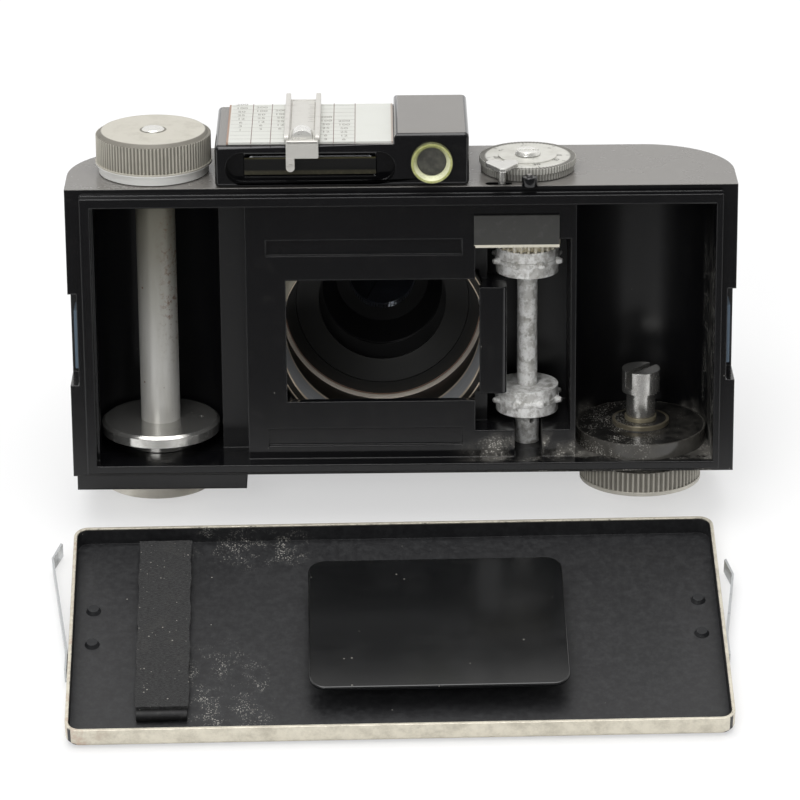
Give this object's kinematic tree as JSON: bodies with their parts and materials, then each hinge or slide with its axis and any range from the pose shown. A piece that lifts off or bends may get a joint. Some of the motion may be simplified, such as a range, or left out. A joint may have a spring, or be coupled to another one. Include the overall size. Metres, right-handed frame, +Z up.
{
  "type": "35 mm roll-film camera",
  "caption": "Compact 35 mm film camera in moulded black resin, standing open on its lens, with its back cover taken off and lying beside it.",
  "frame": {"origin": "centre of the bounding box's footprint, on the surface that everything rests on", "axes": "+X to the right seen from the open rear, +Y from the cover to the camera's lens, +Z up"},
  "size_m": [0.1278, 0.1295, 0.0755],
  "materials": {
    "resin": "moulded black resin, polished outside",
    "black_paint": "black enamel on metal",
    "bare_aluminium": "worn bare aluminium",
    "nickel": "nickel plated, worn",
    "steel": "bare steel with some rust",
    "brass": "bare brass",
    "old_brass": "dull olive brass of the lens tube",
    "dark_paint": "dark lacquer on metal",
    "felt": "grey felt",
    "glass": "clear glass"
  },
  "bodies": {
    "camera": {"body_shell": "resin", "finder_housing": "resin", "calculator_plate": "bare_aluminium", "meter_wedge": "dark_paint", "finder_front_glass": "glass", "eyepiece_ring": "dark_paint", "eyepiece_glass": "glass", "counter_index": "resin", "gear_cover": "dark_paint", "spool_bush": "brass", "rewind_bush": "steel", "tripod_plate": "bare_aluminium", "catch_plates": "steel", "lens_flange": "black_paint", "flange_screws": "nickel", "lens_barrel": "old_brass"},
    "winder": {"winding_knob": "bare_aluminium", "knob_rivet": "bare_aluminium", "spool_shaft": "steel", "spool_flange": "bare_aluminium"},
    "sprocket_train": {"sprocket_shaft": "steel", "upper_sprocket": "bare_aluminium", "lower_sprocket": "bare_aluminium", "counter_gear": "brass", "catch_disc": "bare_aluminium", "dial_screw": "nickel"},
    "counter": {"counter_dial": "bare_aluminium"},
    "film_release": {"film_catch": "nickel"},
    "rewind_slide": {"rewind_sleeve": "steel"},
    "rewinder": {"rewind_knob": "bare_aluminium", "rewind_fork": "steel"},
    "calculator": {"meter_slider": "dark_paint"},
    "lens_unit": {"shutter_case": "black_paint", "rear_baffle": "dark_paint", "shutter_leaves": "steel", "shutter_face": "black_paint", "cable_socket": "nickel", "front_glass": "glass", "rear_glass": "glass", "glass_retainer": "nickel"},
    "focusing_ring": {"focus_ring": "black_paint"},
    "speed_dial": {"speed_ring": "nickel"},
    "aperture": {"aperture_lever": "nickel"},
    "release": {"release_lever": "nickel"},
    "cover": {"cover_tray": "black_paint", "cover_rivets": "nickel", "plate_spring": "steel", "felt_strip": "felt", "felt_leaf": "steel"},
    "plate": {"pressure_plate": "black_paint"},
    "latch_left": {"latch_spring_left": "steel"},
    "latch_right": {"latch_spring_right": "steel"}
  },
  "joints": [
    {"name": "winding", "type": "hinge", "parent": "camera", "child": "winder", "pos_m": [-0.04396, 0.01751, 0.03665], "axis": [0, 0.3221, 0.9467], "continuous": true},
    {"name": "film_feed", "type": "hinge", "parent": "camera", "child": "sprocket_train", "pos_m": [0.02554, 0.01637, 0.03703], "axis": [0, 0.3221, 0.9467], "continuous": true},
    {"name": "counting", "type": "hinge", "parent": "camera", "child": "counter", "pos_m": [0.02554, 0.02552, 0.06392], "axis": [0, 0.3221, 0.9467], "continuous": true},
    {"name": "film_catch_slide", "type": "slide", "parent": "camera", "child": "film_release", "axis": [-1, 0, 0], "range_m": [0, 0.0018], "stiffness_N_per_m": 300},
    {"name": "rewind_pull", "type": "slide", "parent": "camera", "child": "rewind_slide", "axis": [0, -0.3221, -0.9467], "range_m": [0, 0.0055]},
    {"name": "rewinding", "type": "hinge", "parent": "rewind_slide", "child": "rewinder", "pos_m": [0.04714, 0.00857, 0.01222], "axis": [0, 0.3221, 0.9467], "continuous": true},
    {"name": "calculator_slide", "type": "slide", "parent": "camera", "child": "calculator", "axis": [1, 0, 0], "range_m": [-0.0105, 0.012]},
    {"name": "focusing", "type": "hinge", "parent": "camera", "child": "focusing_ring", "pos_m": [-0.00166, 0.02935, 0.02829], "axis": [0, 0.9467, -0.3221], "range_deg": [0, 180]},
    {"name": "focus_travel", "type": "slide", "parent": "camera", "child": "lens_unit", "axis": [0, 0.9467, -0.3221], "range_m": [0, 0.0035]},
    {"name": "speed_setting", "type": "hinge", "parent": "lens_unit", "child": "speed_dial", "pos_m": [-0.00166, 0.02935, 0.02829], "axis": [0, 0.9467, -0.3221], "range_deg": [-75, 75]},
    {"name": "aperture_setting", "type": "hinge", "parent": "lens_unit", "child": "aperture", "pos_m": [-0.00166, 0.02935, 0.02829], "axis": [0, 0.9467, -0.3221], "range_deg": [-40, 40]},
    {"name": "shutter_release", "type": "hinge", "parent": "lens_unit", "child": "release", "pos_m": [-0.0104, 0.06097, 0.02935], "axis": [0, 0.9467, -0.3221], "range_deg": [0, 14], "stiffness_Nm_per_rad": 0.02},
    {"name": "cover_lift", "type": "slide", "parent": "camera", "child": "cover", "axis": [0, -1, 0], "range_m": [0, 0.06]},
    {"name": "plate_press", "type": "slide", "parent": "cover", "child": "plate", "axis": [0, 0, -1], "range_m": [0, 0.0008], "stiffness_N_per_m": 900, "deforming": ["plate_spring"]},
    {"name": "left_latch_spring", "type": "hinge", "parent": "cover", "child": "latch_left", "pos_m": [-0.05958, -0.04188, 0.0021], "axis": [0, 0, -1], "range_deg": [0, 3], "stiffness_Nm_per_rad": 0.6},
    {"name": "right_latch_spring", "type": "hinge", "parent": "cover", "child": "latch_right", "pos_m": [0.06059, -0.03921, 0.0021], "axis": [0, 0, 1], "range_deg": [0, 3], "stiffness_Nm_per_rad": 0.6}
  ],
  "couplings": [
    {"joint": "counting", "follows": "film_feed", "ratio": 0.026316},
    {"joint": "focusing", "follows": "focus_travel", "rad_per_m": 897.59}
  ]
}
